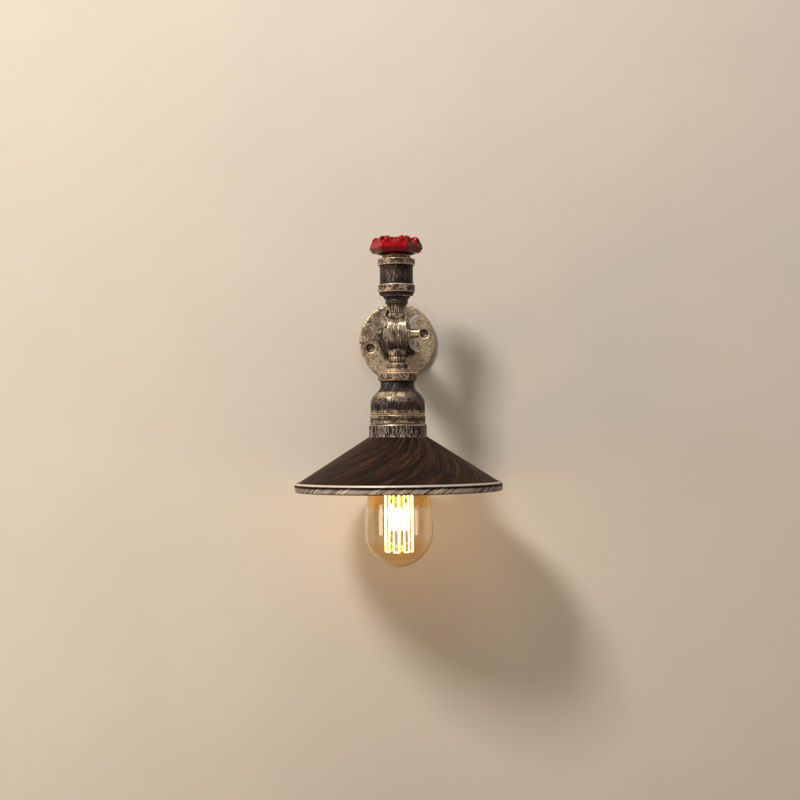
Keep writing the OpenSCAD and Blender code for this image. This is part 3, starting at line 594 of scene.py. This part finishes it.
def brushed_shade(name, groups, s, coat, stroke, cover):
    """Dark coat with fine copper strokes that swirl round the cone, and paler ones on neck and lip."""
    material, g, shader = new_finish(name)
    place = g.place()
    low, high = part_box("shade")
    height = g.sides(place)["Z"]

    def above_foot(start, full, most=1.0):
        """A mask that grows from one height over the foot to another, in millimetres."""
        return g.fade(height, low.z + start * MM, low.z + full * MM, 0.0, most)

    def above_top(start, full):
        """The same for heights over the top."""
        return g.fade(height, high.z + start * MM, high.z + full * MM)

    neck = above_top(-NECK_HEIGHT - 1.6, -NECK_HEIGHT)
    lip = above_foot(LIP_HEIGHT + 0.5, LIP_HEIGHT - 0.3)
    centred = g.scaled(place, (1, 1, 1), -LAMP_AXIS - Vector((0, 0, high.z)))
    swept = g.group(groups["swirl"], Vector=centred, Turn=s.swirl)["Vector"]
    slant = g.group(groups["swirl"], Vector=centred, Turn=2.4 * s.swirl)["Vector"]
    fine = g.group(groups["strokes"], Vector=g.scaled(swept, (470, 470, 60)), Cover=cover)["Mask"]
    broad = g.fade(g.noise(g.scaled(swept, (13, 13, 16), (3, 1, 2)), 1.0, 3.0), 0.36, 0.66)
    hair = g.times(fine, g.fade(broad, 0.0, 1.0, 0.15, 1.0))
    upright = g.group(groups["strokes"], Vector=g.scaled(place, (2100, 2100, 190)), Cover=0.52)["Mask"]
    lip_cover = g.plus(0.29, above_foot(6.2, 4.2, 0.34))
    slanted = g.group(groups["strokes"], Vector=g.scaled(slant, (150, 150, 60)), Cover=lip_cover)["Mask"]
    share = g.blend(g.larger(neck, lip), hair, g.blend(neck, slanted, upright))
    tone = g.mix(g.larger(neck, lip), stroke, toned(s.pale, 1.45))
    painted = g.mix(g.times(share, 0.85), coat, tone)
    worn = g.group(groups["worn"], Vector=place, Edge=g.marked("edge"), Wear=0.9)
    edges = g.times(g.times(worn["Bright"], 0.9), g.larger(neck, above_foot(6.8, 7.6)))
    # Painted highlight along the top of the lip, over the rubbed edges
    uneven = g.fade(g.noise(slant, 60.0, 3.0), 0.30, 0.55, 0.5, 1.0)
    bright = g.larger(edges, g.times(g.times(lip, above_foot(7.2, 7.9)), uneven))
    # Painted shade in the gap under the reducer and along the foot of the lip
    dark = g.larger(above_top(-1.0, -0.4), above_foot(1.2, 0.5))
    metal = g.larger(g.times(share, 0.7), bright)
    g.feed(
        shader,
        Base_Color=g.mix(dark, g.mix(bright, painted, toned(s.pale, 1.4)), toned(coat, 0.3)),
        Metallic=g.times(metal, g.fade(lip, 0.0, 1.0, 0.85, 0.30)),
        Roughness=g.minus(0.52, g.times(metal, 0.14)),
        Normal=g.bump(g.plus(fine, g.times(broad, 0.5)), 0.35, 0.1 * MM),
        Specular_IOR_Level=0.08,
    )
    return material


def gloss_enamel(name, groups, s):
    """Thick enamel over a casting, with painted shade underneath and darker where it has run together."""
    material, g, shader = new_finish(name)
    place = g.place()
    worn = g.group(groups["worn"], Vector=place, Edge=g.marked("edge"), Wear=0.0)
    cloud = g.fade(g.noise(place, 140.0, 2.0), 0.35, 0.7, 0.0, 0.35)
    # Painted shade: the skirt that faces away from the key light is darker
    under = g.fade(g.marked("slope"), 0.50, 0.20, 0.0, 0.8)
    pooled_and_shaded = g.larger(g.larger(cloud, under), g.times(worn["Hollow"], 0.9))
    peel = g.noise(place, 520.0, 2.0, 0.4)
    lumps = g.noise(place, 110.0, 1.0, 0.4)
    g.feed(
        shader,
        Base_Color=g.mix(pooled_and_shaded, s.enamel, s.shadow),
        Roughness=g.fade(peel, 0.3, 0.7, 0.14, 0.22),
        Normal=g.bump(g.plus(g.times(peel, 0.05), lumps), 1.0, 1.2 * MM),
        Coat_Weight=0.25,
        Coat_Roughness=0.04,
        Specular_IOR_Level=0.12,
    )
    return material


def rubbed_metal(groups, name, pale, dark, rough, wear=None):
    """Bare metal with fine scratches. Where it has wear, its edges are bright and its hollows dark, partly
    as painted shade.
    """
    material, g, shader = new_finish(name)
    place = g.place()
    scratches = g.group(groups["strokes"], Vector=g.scaled(place, (900, 900, 900)), Cover=0.5)["Mask"]
    stain = g.fade(g.noise(place, 260.0, 3.0), 0.35, 0.7)
    stained = g.mix(g.times(stain, 0.6), pale, dark)
    metal = g.mix(g.times(scratches, 0.3), stained, [min(1, value) for value in toned(pale, 1.25)])
    if wear:
        worn = g.group(groups["worn"], Vector=place, Edge=g.marked("edge"), Wear=wear)
        metal = g.mix(worn["Hollow"], g.mix(g.times(worn["Bright"], 0.6), metal, pale), dark)
    g.feed(
        shader,
        Base_Color=metal,
        Metallic=0.75,
        Roughness=g.plus(rough, g.times(stain, 0.12)),
        Normal=g.bump(g.plus(scratches, stain), 0.25, 0.1 * MM),
    )
    return material


def glazed(name, pale, dark, rough=0.2):
    """Glazed ceramic or black glass with faint clouds in its glaze."""
    material, g, shader = new_finish(name)
    place = g.place()
    cloud = g.fade(g.noise(place, 170.0, 3.0), 0.4, 0.75, 0.0, 0.35)
    ripple = g.noise(place, 700.0, 2.0)
    g.feed(
        shader,
        Base_Color=g.mix(cloud, pale, dark),
        Roughness=g.fade(ripple, 0.3, 0.7, rough, rough + 0.1),
        Normal=g.bump(ripple, 0.2, 0.1 * MM),
    )
    return material


def blown_glass(name, tint, shadow_tint, painted_reflection=None, belt=(0, 0)):
    """Clear or tinted glass that lets the lamps through. Above and below its belt a deeper tint may be
    painted as a reflection.
    """
    material, g, shader = new_finish(name)
    place = g.place()
    ripple = g.noise(place, 45.0, 2.0, 0.4)
    ground = rgba(tint)
    # Painted reflection: a deeper tint near the neck and the tip
    if painted_reflection:
        low, high = belt
        wave = g.times(g.minus(g.noise(place, 30.0, 2.0), 0.5), 12 * MM)
        height = g.plus(g.sides(place)["Z"], wave)
        above = g.fade(height, high - 2 * MM, high + 2 * MM)
        below = g.fade(height, low + 2 * MM, low - 2 * MM, 0.0, 0.7)
        ground = g.mix(g.larger(above, below), tint, painted_reflection)
    g.feed(
        shader,
        Base_Color=ground,
        Metallic=0.0,
        Roughness=0.0,
        IOR=1.45,
        Transmission_Weight=1.0,
        Normal=g.bump(ripple, 0.4, 0.06 * MM),
    )
    let_through(material, g, shader, lamp_rays(g), shadow_tint)
    return material


def lit_wire(name, s):
    """Glowing wire, a little dimmer in places."""
    material, g, shader = new_finish(name)
    flicker = g.fade(g.noise(g.place(), 300.0, 2.0), 0.3, 0.7)
    g.feed(
        shader,
        Base_Color=g.mix(flicker, (0.9, 0.6, 0.3), (1.0, 0.8, 0.5)),
        Roughness=0.5,
        Emission_Color=(*s.glow, 1),
        Emission_Strength=s.strength,
    )
    return material


def lit_glass(name, glow):
    """Pressed glass that is full of the filament's light."""
    material, g, shader = new_finish(name)
    cloud = g.noise(g.place(), 200.0, 2.0)
    g.feed(
        shader,
        Base_Color=(1.0, 0.93, 0.80, 1),
        Roughness=g.fade(cloud, 0.3, 0.7, 0.15, 0.35),
        Transmission_Weight=0.5,
        Emission_Color=(*glow, 1),
        Emission_Strength=0.8,
    )
    return material


def plaster(name, paint, open_to_light=False):
    """Matt plaster, seen from its front only. The lamps shine through it if it is open to light."""
    material, g, shader = new_finish(name)
    cloud = g.fade(g.noise(g.place(), 6.0, 3.0), 0.3, 0.7)
    base = g.mix(cloud, paint, toned(paint, 0.97))
    g.feed(shader, Base_Color=base, Roughness=0.9, Specular_IOR_Level=0.2)
    hidden = g.add("ShaderNodeNewGeometry").outputs["Backfacing"]
    if open_to_light:
        hidden = g.larger(hidden, lamp_rays(g))
    let_through(material, g, shader, hidden)
    return material


def bronze_finishes(groups, c):
    """The finishes of the cast fittings, by name."""
    coats = (c.coat, c.warm)
    flange_coats = (toned(c.flange, 0.25), toned(c.flange, 0.5))
    pale = toned(c.flange, 2.1)
    coupling_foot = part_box("upper_coupling")[0].z
    knuckle_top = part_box("knuckle_head")[1].z
    upright = (800, 800, 220)
    round_the_ears = (950, 90, 90)
    spotted = (560, 560, 560)
    return {
        "bronze": antique_bronze("Antique Bronze", groups, c, coats, c.rub, 0.42, upright),
        "coupling": antique_bronze(
            "Coupling Bronze", groups, c, coats, c.rub, 0.42, upright,
            # Painted shade on the coupling's foot, below its lower bead
            painted_shade=dark_from(coupling_foot + 3.2 * MM, coupling_foot + 2.4 * MM),
        ),
        # A darker copy of the bronze, as painted shade on the bushing under the coupling
        "dark_bronze": antique_bronze(
            "Dark Bronze", groups, c, coats, c.rub, 0.20, upright, wear=0.2, gather=0.1,
        ),
        "knuckle": antique_bronze(
            "Knuckle Bronze", groups, c, coats, pale, 0.60, round_the_ears,
            wear=0.30, grain=0.2 * MM, rough=0.26, gather=0.35, pits=0.8, sparse=0.35,
            # Painted shade on the top of the knuckle, under the coupling
            painted_shade=dark_from(knuckle_top - 15.5 * MM, knuckle_top - 14.0 * MM, 0.75),
        ),
        "flange": antique_bronze(
            "Flange Bronze", groups, c, flange_coats, pale, 0.74, spotted,
            wear=0.7, drift=0.24, pits=0.7, sparse=0.6, painted_shade=flange_recess,
        ),
    }


def metal_finishes(groups):
    """The finishes of the small metal parts, by name."""
    metals = {
        "pewter": ("Pewter", (0.92, 0.82, 0.70), (0.10, 0.08, 0.06), 0.30, 0.8),
        "barrel": ("Barrel Bronze", (0.90, 0.70, 0.46), (0.08, 0.045, 0.02), 0.26, 0.8),
        "bolt": ("Bolt Steel", (0.55, 0.47, 0.36), (0.09, 0.07, 0.05), 0.36, 0.6),
        "steel": ("Steel", (0.60, 0.60, 0.58), (0.22, 0.20, 0.18), 0.32),
        "wire": ("Support Wire", (0.75, 0.62, 0.42), (0.40, 0.30, 0.18), 0.28),
        "brass": ("Brass", (0.83, 0.62, 0.26), (0.40, 0.27, 0.10), 0.26),
    }
    return {key: rubbed_metal(groups, *values) for key, values in metals.items()}


def glass_finishes(bulb):
    """The finishes of the bulb and of the glazed parts, by name."""
    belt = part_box("bulb_glass")[0].z + 37 * MM
    amber_belt = (belt - 12 * MM, belt + 23 * MM)
    return {
        "porcelain": glazed("Porcelain", (0.86, 0.84, 0.78), (0.70, 0.64, 0.52)),
        "black_glass": glazed("Black Glass", (0.02, 0.02, 0.02), (0.05, 0.04, 0.04), 0.1),
        "amber_glass": blown_glass("Amber Glass", bulb.tint, (0.97, 0.88, 0.70), bulb.painted_reflection, amber_belt),
        "clear_glass": blown_glass("Clear Glass", (0.98, 0.99, 0.97), (0.98, 0.98, 0.97)),
        "lit_press": lit_glass("Lit Press", (1.0, 0.86, 0.62)),
        "filament": lit_wire("Lit Filament", bulb),
    }


def make_finishes():
    """Every finish of the light, by name."""
    scene = bpy.context.scene
    shade = scene.light_shade
    groups = {"strokes": brush_strokes(), "worn": worn_edges(), "grain": cast_grain(), "swirl": swirl()}
    return {
        **bronze_finishes(groups, scene.light_castings),
        **metal_finishes(groups),
        **glass_finishes(scene.light_bulb),
        "shade": brushed_shade("Brushed Shade", groups, shade, shade.coat, shade.stroke, 0.45),
        "shade_inside": brushed_shade(
            "Shade Inside", groups, shade, toned(shade.inside, 0.35), shade.inside, 0.75,
        ),
        "enamel": gloss_enamel("Red Enamel", groups, scene.light_enamel),
    }


finishes = {}


# Pieces


class WallSide(bpy.types.Operator):
    """Flange on the wall, pipe arm and its bushing"""

    bl_idname = "wall_light.wall_side"
    bl_label = "Wall Side"

    def execute(self, context):
        c = context.scene.light_castings
        flange = roughen(softened("wall_flange", 0.5 * MM, 3), c.skin, c.grain)
        piece(
            "wall_flange_casting", flange, "wall_arm", finishes["flange"], ["wall_flange"]
        )
        for node in ("arm_nipple", "arm_bushing"):
            pipe = softened(node, 0.4 * MM, 3)
            piece(node + "_metal", pipe, "wall_arm", finishes["bronze"], [node])
        return {"FINISHED"}


class Knuckle(bpy.types.Operator):
    """Both halves of the swivel knuckle, its bolt, washer and wing nut"""

    bl_idname = "wall_light.knuckle"
    bl_label = "Swivel Knuckle"

    def execute(self, context):
        for node, body in (("knuckle_arm", "wall_arm"), ("knuckle_head", "lamp_head")):
            casting = softened(node, 0.38 * MM, 3)
            piece(node + "_casting", casting, body, finishes["knuckle"], [node])
        bolt = softened("pivot_bolt", 0.22 * MM, 2)
        piece("pivot_bolt_metal", bolt, "lamp_head", finishes["bolt"], ["pivot_bolt"])
        nut = softened("wing_nut", 0.22 * MM, 4)
        pivot = middle("pivot_bolt")
        barrel_r = 5.6 * MM
        for face in nut.faces:
            across = face.calc_center_median() - pivot
            if Vector((across.y, across.z)).length < barrel_r:
                face.material_index = 1
        casting = piece("wing_nut_casting", nut, "wing_nut", finishes["pewter"], ["wing_nut"])
        casting.data.materials.append(finishes["barrel"])
        dress(finishes["steel"], "nut_washer", "friction_washer")
        return {"FINISHED"}


class Fittings(bpy.types.Operator):
    """Upper coupling, bell reducer, bushings and bonnet plug"""

    bl_idname = "wall_light.fittings"
    bl_label = "Pipe Fittings"

    def execute(self, context):
        c = context.scene.light_castings
        low, high = (corner.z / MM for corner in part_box("upper_coupling"))
        coupling = turned([
            (12.1, low, 0.4), (16.6, low, 0.7), (17.5, low + 2.8, 0.4), (18.4, low + 3.0, 0.8),
            (18.4, low + 10.7, 0.9), (17.1, low + 11.0, 0.5), (16.7, low + 13.5, 1.5),
            (16.6, low + 20, 0), (16.7, high - 8.6, 1.5), (17.1, high - 6.8, 0.5),
            (18.65, high - 6.4, 0.9), (18.65, high, 1.1), (12.1, high, 0.5),
        ])
        low, high = (corner.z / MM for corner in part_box("bell_reducer"))
        reducer = turned([
            (12.1, high, 0.5), (19.35, high, 1.2), (19.35, high - 8.4, 1.2), (17.1, high - 8.9, 0.8),
            (16.75, high - 16.1, 4), (27.25, high - 25.6, 5), (27.25, low + 9.6, 0.3),
            (26.45, low + 9.5, 0.15), (26.45, low + 9.0, 0.15), (27.6, low + 8.9, 0.7),
            (27.6, low, 0.8), (23.3, low, 0.5), (23.3, low + 22.4, 1.5), (12.1, low + 33.4, 1),
        ])
        fittings = (("upper_coupling", coupling, "coupling"), ("bell_reducer", reducer, "bronze"))
        for node, bm, finish in fittings:
            casting = roughen(bm, c.skin, c.grain)
            piece(node + "_casting", casting, "lamp_head", finishes[finish], [node])
        # The upper bushing takes the darker bronze, as painted shade under the coupling
        bushings = {"upper_bushing": "dark_bronze", "bonnet_plug": "bronze", "lower_bushing": "bronze"}
        for node, finish in bushings.items():
            bushing = roughen(softened(node, 0.4 * MM, 3), c.skin / 2, c.grain)
            piece(node + "_casting", bushing, "lamp_head", finishes[finish], [node])
        return {"FINISHED"}


class Handwheel(bpy.types.Operator):
    """Lobed handwheel in red enamel, with its spindle, washer and nut"""

    bl_idname = "wall_light.handwheel"
    bl_label = "Handwheel"

    def execute(self, context):
        wheel = softened("handwheel", 0.4 * MM, 6)
        piece(
            "handwheel_enamelled", wheel, "handwheel", finishes["enamel"], ["handwheel"],
            crease=60,
        )
        for node in ("wheel_spindle", "wheel_washer", "wheel_nut"):
            part = softened(node, 0.22 * MM, 2)
            piece(node + "_metal", part, "handwheel", finishes["bolt"], [node])
        return {"FINISHED"}


class Shade(bpy.types.Operator):
    """Spun shade with its neck, cone and rolled lip"""

    bl_idname = "wall_light.shade"
    bl_label = "Shade"

    def execute(self, context):
        low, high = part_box("shade")
        rim = (high.x - low.x) / 2 / MM
        top, foot = high.z / MM, low.z / MM
        cone_foot = foot + LIP_HEIGHT
        bm = turned(
            [
                (20.1, top - 1, 0), (20.1, top, 0), (28.8, top, 1.3), (28.8, top - NECK_HEIGHT, 1.0),
                (rim - 3.4, cone_foot, 0.4), (rim - 1.9, cone_foot + 0.4, 0.5),
                (rim, cone_foot + 0.3, 1.7), (rim, foot, 2.2), (rim - 4.6, foot, 2.2),
                (rim - 4.6, cone_foot - 2.2, 0.8), (27.8, top - 13.7, 0.8), (27.8, top - 1, 1.0),
            ],
            context.scene.light_shade.steps,
        )
        for face in bm.faces:
            if face.normal.z < -0.2 and face.calc_center_median().z > low.z + 4 * MM:
                face.material_index = 1
        shade = piece("shade_spun", bm, "lamp_head", finishes["shade"], ["shade"], 50)
        shade.data.materials.append(finishes["shade_inside"])
        return {"FINISHED"}


class Lampholder(bpy.types.Operator):
    """Porcelain lampholder with its brass parts, nipple and locknut"""

    bl_idname = "wall_light.lampholder"
    bl_label = "Lampholder"

    def execute(self, context):
        for node in ("holder_skirt", "shade_ring", "holder_dome"):
            part = softened(node, 0.4 * MM, 2)
            piece(node + "_glazed", part, "lamp_head", finishes["porcelain"], [node])
        dress(finishes["porcelain"], "holder_core")
        dress(finishes["brass"], "screw_shell", "centre_contact", "terminal_screws")
        dress(finishes["steel"], "lamp_nipple", "nipple_locknut")
        return {"FINISHED"}


class Bulb(bpy.types.Operator):
    """Amber glass, its cap, the glass mount and the lit filament"""

    bl_idname = "wall_light.bulb"
    bl_label = "Bulb"

    def execute(self, context):
        dress(finishes["amber_glass"], "bulb_glass")
        stem = softened("bulb_stem", 0.3 * MM, 4)
        press_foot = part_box("bulb_glass")[0].z + 36.5 * MM
        press_top = press_foot + 21 * MM
        for face in stem.faces:
            if press_foot < face.calc_center_median().z < press_top:
                face.material_index = 1
        glass = piece(
            "bulb_stem_glass", stem, "lamp_head", finishes["clear_glass"], ["bulb_stem"],
            crease=60,
        )
        glass.data.materials.append(finishes["lit_press"])
        dress(finishes["filament"], "filament")
        dress(finishes["wire"], "filament_supports")
        dress(finishes["brass"], "bulb_cap")
        dress(finishes["black_glass"], "cap_insulator")
        dress(finishes["steel"], "cap_contact")
        return {"FINISHED"}


# Stage


def stage_plane(name, corner, width, height, finish):
    """A flat stage piece that starts at a corner and runs along two directions."""
    bm = bmesh.new()
    corners = [corner, corner + width, corner + width + height, corner + height]
    bm.faces.new([bm.verts.new(c) for c in corners])
    mesh = bpy.data.meshes.new(name)
    bm.to_mesh(mesh)
    bm.free()
    mesh.materials.append(finish)
    ob = bpy.data.objects.new(name, mesh)
    bpy.context.scene.collection.objects.link(ob)


def softbox(name, place, target, size, energy, tint=(1, 1, 1)):
    """A flat lamp that looks at a point."""
    lamp = bpy.data.lights.new(name, "AREA")
    lamp.shape = "RECTANGLE"
    lamp.size, lamp.size_y = size
    lamp.energy = energy
    lamp.color = tint
    ob = bpy.data.objects.new(name, lamp)
    ob.location = place
    ob.rotation_euler = (Vector(target) - Vector(place)).to_track_quat("-Z", "Y").to_euler()
    bpy.context.scene.collection.objects.link(ob)


class Stage(bpy.types.Operator):
    """Wall, floor, lamps, world and camera"""

    bl_idname = "wall_light.stage"
    bl_label = "Stage"

    def execute(self, context):
        scene, s = context.scene, context.scene.light_stage
        reach = 3.0
        gap = 0.6 * MM
        stage_plane(
            "wall", Vector((-reach, gap, s.floor)), Vector((2 * reach, 0, 0)), Vector((0, 0, reach)),
            plaster("Wall Plaster", s.wall, open_to_light=True),
        )
        stage_plane(
            "floor", Vector((-reach, -reach, s.floor)), Vector((2 * reach, 0, 0)),
            Vector((0, 2 * reach, 0)),
            plaster("Floor", s.wall),
        )
        target = LAMP_AXIS + Vector((0, 0, -0.06))
        softbox("key", (-0.90, -1.50, 1.35), target, (0.4, 0.4), 36, (1.0, 0.98, 0.95))
        softbox("top", (0.1, -0.45, 1.2), target, (0.5, 0.5), 4)
        softbox("left_window", (-1.1, -0.65, -0.15), target, (0.3, 0.5), 3.0, (1.0, 0.88, 0.72))
        softbox("right_window", (1.1, -0.60, -0.15), target, (0.3, 0.5), 0.5, (0.95, 0.95, 1.0))
        bulb = middle("bulb_glass")
        lamp = bpy.data.lights.new("bulb_light", "POINT")
        lamp.energy = scene.light_bulb.lamp
        lamp.color = scene.light_bulb.glow
        lamp.shadow_soft_size = 0.012
        glow = bpy.data.objects.new("bulb_light", lamp)
        glow.location = (bulb.x, bulb.y, bulb.z - 0.01)
        scene.collection.objects.link(glow)
        world = bpy.data.worlds.new("Studio")
        world.use_nodes = True
        background = world.node_tree.nodes["Background"].inputs
        background["Color"].default_value = (0.62, 0.60, 0.57, 1)
        background["Strength"].default_value = 0.18
        scene.world = world
        camera = bpy.data.cameras.new("camera")
        camera.lens = s.lens
        camera.sensor_width = 36
        camera.shift_y = s.rise
        view = bpy.data.objects.new("camera", camera)
        view.location = LAMP_AXIS + Vector((0.0020, -s.distance, s.height))
        view.rotation_euler = (math.radians(90), s.roll, 0)
        scene.collection.objects.link(view)
        scene.camera = view
        scene.view_settings.view_transform = "Standard"
        return {"FINISHED"}


class LightPanel(bpy.types.Panel):
    """Sidebar panel that lists the pieces"""

    bl_idname = "VIEW3D_PT_wall_light"
    bl_label = "Wall Light"
    bl_space_type = "VIEW_3D"
    bl_region_type = "UI"
    bl_category = "Wall Light"

    def draw(self, context):
        for operator in OPERATORS:
            self.layout.operator(operator.bl_idname)
        for name in SETTINGS:
            settings = getattr(context.scene, name)
            box = self.layout.box()
            for field in settings.__annotations__:
                box.prop(settings, field)


SETTINGS = {
    "light_castings": CastingSettings,
    "light_enamel": EnamelSettings,
    "light_shade": ShadeSettings,
    "light_bulb": BulbSettings,
    "light_stage": StageSettings,
}
OPERATORS = (WallSide, Knuckle, Fittings, Handwheel, Shade, Lampholder, Bulb, Stage)


def register():
    for cls in (*SETTINGS.values(), *OPERATORS, LightPanel):
        bpy.utils.register_class(cls)
    for name, settings in SETTINGS.items():
        setattr(bpy.types.Scene, name, PointerProperty(type=settings))


def unregister():
    for name in SETTINGS:
        delattr(bpy.types.Scene, name)
    for cls in reversed((*SETTINGS.values(), *OPERATORS, LightPanel)):
        bpy.utils.unregister_class(cls)


def main():
    register()
    finishes.update(make_finishes())
    bpy.ops.wall_light.wall_side()
    bpy.ops.wall_light.knuckle()
    bpy.ops.wall_light.fittings()
    bpy.ops.wall_light.handwheel()
    bpy.ops.wall_light.shade()
    bpy.ops.wall_light.lampholder()
    bpy.ops.wall_light.bulb()
    bpy.ops.wall_light.stage()


if __name__ == "__main__":
    main()
